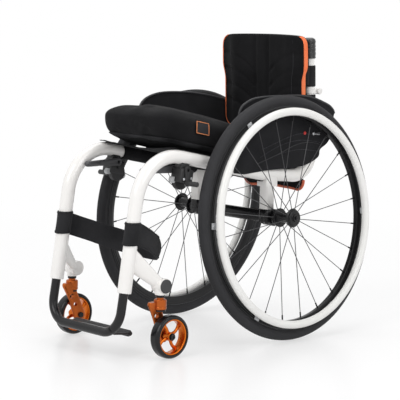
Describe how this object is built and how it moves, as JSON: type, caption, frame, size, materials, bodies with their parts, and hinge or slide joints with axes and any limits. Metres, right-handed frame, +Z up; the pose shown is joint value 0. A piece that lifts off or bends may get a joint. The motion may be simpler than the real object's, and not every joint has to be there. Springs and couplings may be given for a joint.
{
  "type": "rigid frame active wheelchair",
  "caption": "Rigid frame wheelchair with cambered spoked rear wheels, handrims, one-sided castor forks, padded seat and backrest, side guards, wheel locks and a tube footrest.",
  "frame": {"origin": "centre of the bounding box's footprint, on the floor", "axes": "+Z up, -Y the way the user faces, +X the user's left"},
  "size_m": [0.4786, 0.7904, 0.742],
  "materials": {
    "white_paint": "gloss",
    "black_paint": "satin",
    "tyre": "matt",
    "castor_rubber": "gloss",
    "fabric": "matt",
    "webbing": "matt",
    "orange_anodised": "anodised",
    "steel": "polished",
    "dark_plastic": "matt",
    "moulded_plastic": "satin"
  },
  "bodies": {
    "frame": {"side_frame_left": "white_paint", "side_frame_right": "white_paint", "castor_cap_left": "dark_plastic", "castor_cap_right": "dark_plastic", "axle_tube": "black_paint", "axle_stem_left": "white_paint", "axle_stem_right": "white_paint", "axle_clamp_left": "black_paint", "axle_clamp_right": "black_paint", "quick_release_left": "black_paint", "quick_release_right": "black_paint", "calf_strap": "webbing", "seat_sling": "fabric", "seat_cushion": "fabric", "sideguard_left": "moulded_plastic", "sideguard_right": "moulded_plastic", "lock_body_left": "moulded_plastic", "lock_body_right": "moulded_plastic", "back_hinge_left": "black_paint", "back_hinge_right": "black_paint", "back_flap": "fabric"},
    "rear_wheel_left": {"tyre_left": "tyre", "rim_left": "black_paint", "spoked_hub_left": "black_paint", "handrim_left": "white_paint"},
    "rear_wheel_right": {"tyre_right": "tyre", "rim_right": "black_paint", "spoked_hub_right": "black_paint", "handrim_right": "white_paint"},
    "release_button_left": {"release_button_left": "steel"},
    "release_button_right": {"release_button_right": "steel"},
    "castor_fork_left": {"castor_fork_left": "orange_anodised", "castor_axle_left": "steel"},
    "castor_fork_right": {"castor_fork_right": "orange_anodised", "castor_axle_right": "steel"},
    "castor_wheel_left": {"castor_hub_left": "orange_anodised", "castor_tyre_left": "castor_rubber"},
    "castor_wheel_right": {"castor_hub_right": "orange_anodised", "castor_tyre_right": "castor_rubber"},
    "lock_lever_left": {"lock_lever_left": "moulded_plastic"},
    "lock_lever_right": {"lock_lever_right": "moulded_plastic"},
    "lock_shoe_left": {"lock_shoe_left": "moulded_plastic"},
    "lock_shoe_right": {"lock_shoe_right": "moulded_plastic"},
    "footrest": {"footrest_tube": "black_paint", "footplate": "moulded_plastic"},
    "backrest": {"back_cane_left": "white_paint", "back_cane_right": "white_paint", "cane_cap_left": "castor_rubber", "cane_cap_right": "castor_rubber", "back_crossbar": "white_paint", "back_upholstery": "fabric"}
  },
  "joints": [
    {"name": "rear_wheel_left_spin", "type": "hinge", "parent": "frame", "child": "rear_wheel_left", "pos_m": [0.18, 0.10018, 0.29393], "axis": [0.9962, 0, 0.0872], "continuous": true},
    {"name": "rear_wheel_right_spin", "type": "hinge", "parent": "frame", "child": "rear_wheel_right", "pos_m": [-0.18, 0.10018, 0.29393], "axis": [-0.9962, 0, 0.0872], "continuous": true},
    {"name": "release_button_left_press", "type": "slide", "parent": "frame", "child": "release_button_left", "axis": [-0.9962, 0, -0.0872], "range_m": [0, 0.0025], "stiffness_N_per_m": 800, "springref_m": -0.001},
    {"name": "release_button_right_press", "type": "slide", "parent": "frame", "child": "release_button_right", "axis": [0.9962, 0, -0.0872], "range_m": [0, 0.0025], "stiffness_N_per_m": 800, "springref_m": -0.001},
    {"name": "castor_left_swivel", "type": "hinge", "parent": "frame", "child": "castor_fork_left", "pos_m": [0.158, -0.29183, 0.125], "axis": [0, 0, 1], "continuous": true},
    {"name": "castor_right_swivel", "type": "hinge", "parent": "frame", "child": "castor_fork_right", "pos_m": [-0.158, -0.29183, 0.125], "axis": [0, 0, 1], "continuous": true},
    {"name": "castor_left_roll", "type": "hinge", "parent": "castor_fork_left", "child": "castor_wheel_left", "pos_m": [0.172, -0.27382, 0.05], "axis": [1, 0, 0], "continuous": true},
    {"name": "castor_right_roll", "type": "hinge", "parent": "castor_fork_right", "child": "castor_wheel_right", "pos_m": [-0.172, -0.27382, 0.05], "axis": [1, 0, 0], "continuous": true},
    {"name": "lock_lever_left_turn", "type": "hinge", "parent": "frame", "child": "lock_lever_left", "pos_m": [0.102, -0.19783, 0.42106], "axis": [1, 0, 0], "range_deg": [0, 50]},
    {"name": "lock_lever_right_turn", "type": "hinge", "parent": "frame", "child": "lock_lever_right", "pos_m": [-0.102, -0.19783, 0.42106], "axis": [1, 0, 0], "range_deg": [0, 50]},
    {"name": "lock_shoe_left_turn", "type": "hinge", "parent": "frame", "child": "lock_shoe_left", "pos_m": [0.14, -0.19783, 0.42106], "axis": [1, 0, 0], "range_deg": [0, 24]},
    {"name": "lock_shoe_right_turn", "type": "hinge", "parent": "frame", "child": "lock_shoe_right", "pos_m": [-0.14, -0.19783, 0.42106], "axis": [1, 0, 0], "range_deg": [0, 24]},
    {"name": "footrest_height", "type": "slide", "parent": "frame", "child": "footrest", "axis": [0, 0.1509, 0.9885], "range_m": [-0.03, 0.005]},
    {"name": "backrest_fold", "type": "hinge", "parent": "frame", "child": "backrest", "pos_m": [0, 0.23717, 0.487], "axis": [1, 0, 0], "range_deg": [0, 25]}
  ],
  "couplings": [
    {"joint": "lock_shoe_left_turn", "follows": "lock_lever_left_turn", "ratio": 0.48},
    {"joint": "lock_shoe_right_turn", "follows": "lock_lever_right_turn", "ratio": 0.48}
  ]
}
